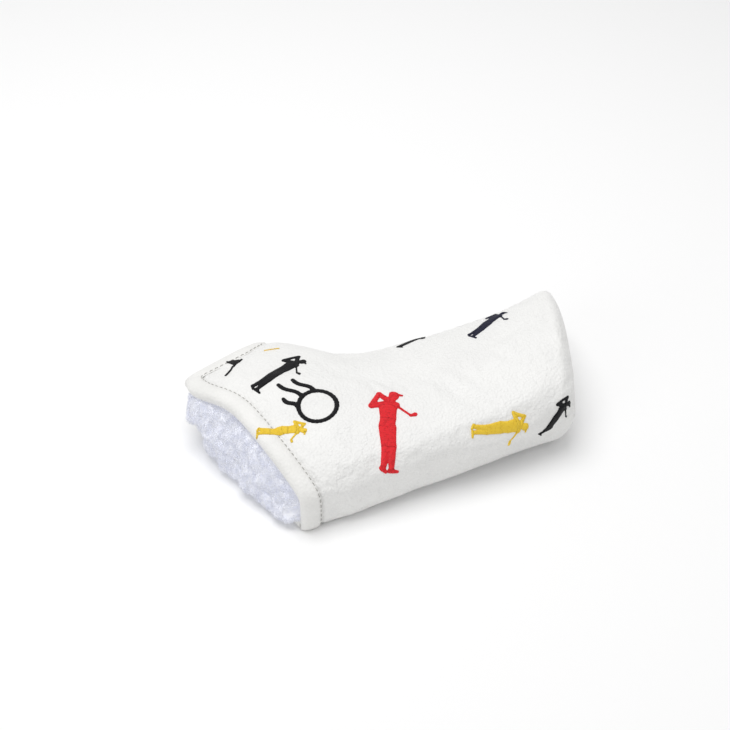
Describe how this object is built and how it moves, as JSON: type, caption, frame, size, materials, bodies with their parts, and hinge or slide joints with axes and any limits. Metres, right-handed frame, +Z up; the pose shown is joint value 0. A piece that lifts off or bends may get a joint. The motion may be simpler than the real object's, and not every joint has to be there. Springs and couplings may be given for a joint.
{
  "type": "putter head cover",
  "caption": "Padded blade putter head cover in white grained leather with a plush lining, embroidered golfers and a heel flap that peels open.",
  "frame": {"origin": "centre of the footprint's bounding box, on the surface that the back panel lies on", "axes": "+X from the mouth to the toe, +Y from the sole fold to the top seam, +Z up out of the front panel"},
  "size_m": [0.1712, 0.0966, 0.0397],
  "materials": {
    "leather": "white pebble-grained synthetic leather, soft sheen",
    "leather_hem": "turned edge of the same leather",
    "foam": "open-cell padding",
    "plush": "deep-pile plush with a cool white tint",
    "hook_and_loop": "white hook-and-loop tape",
    "white_thread": "matte polyester thread",
    "red_thread": "satin-stitch embroidery",
    "gold_thread": "satin-stitch embroidery",
    "navy_thread": "satin-stitch embroidery",
    "black_thread": "satin-stitch embroidery"
  },
  "bodies": {
    "cover": {"outer_leather": "leather", "mouth_hem": "leather_hem", "back_slit_hem": "leather_hem", "foam_front": "foam", "foam_back": "foam", "lining_front": "plush", "lining_back": "plush", "loop_patch": "hook_and_loop", "mouth_hem_stitches": "white_thread", "top_seam_stitches": "white_thread", "toe_seam_stitches": "white_thread", "slit_bar_tack": "gold_thread", "golfer_red": "red_thread", "golfer_gold_toe": "gold_thread", "golfer_gold_mouth": "gold_thread", "golfer_navy": "navy_thread", "golfer_black_toe": "black_thread", "golfer_black_heel": "black_thread", "golfer_black_top": "black_thread", "emblem_ball": "black_thread"},
    "heel_flap": {"flap_leather": "leather", "flap_hem": "leather_hem", "flap_foam": "foam", "flap_lining": "plush", "hook_patch": "hook_and_loop", "flap_mouth_stitches": "white_thread", "flap_slit_stitches": "white_thread", "pennant": "black_thread"}
  },
  "joints": [
    {"name": "heel_flap_open", "type": "hinge", "parent": "cover", "child": "heel_flap", "pos_m": [-0.07211, 0.00511, 0.0303], "axis": [0.5718, 0.8182, -0.0591], "range_deg": [0, 55]}
  ]
}
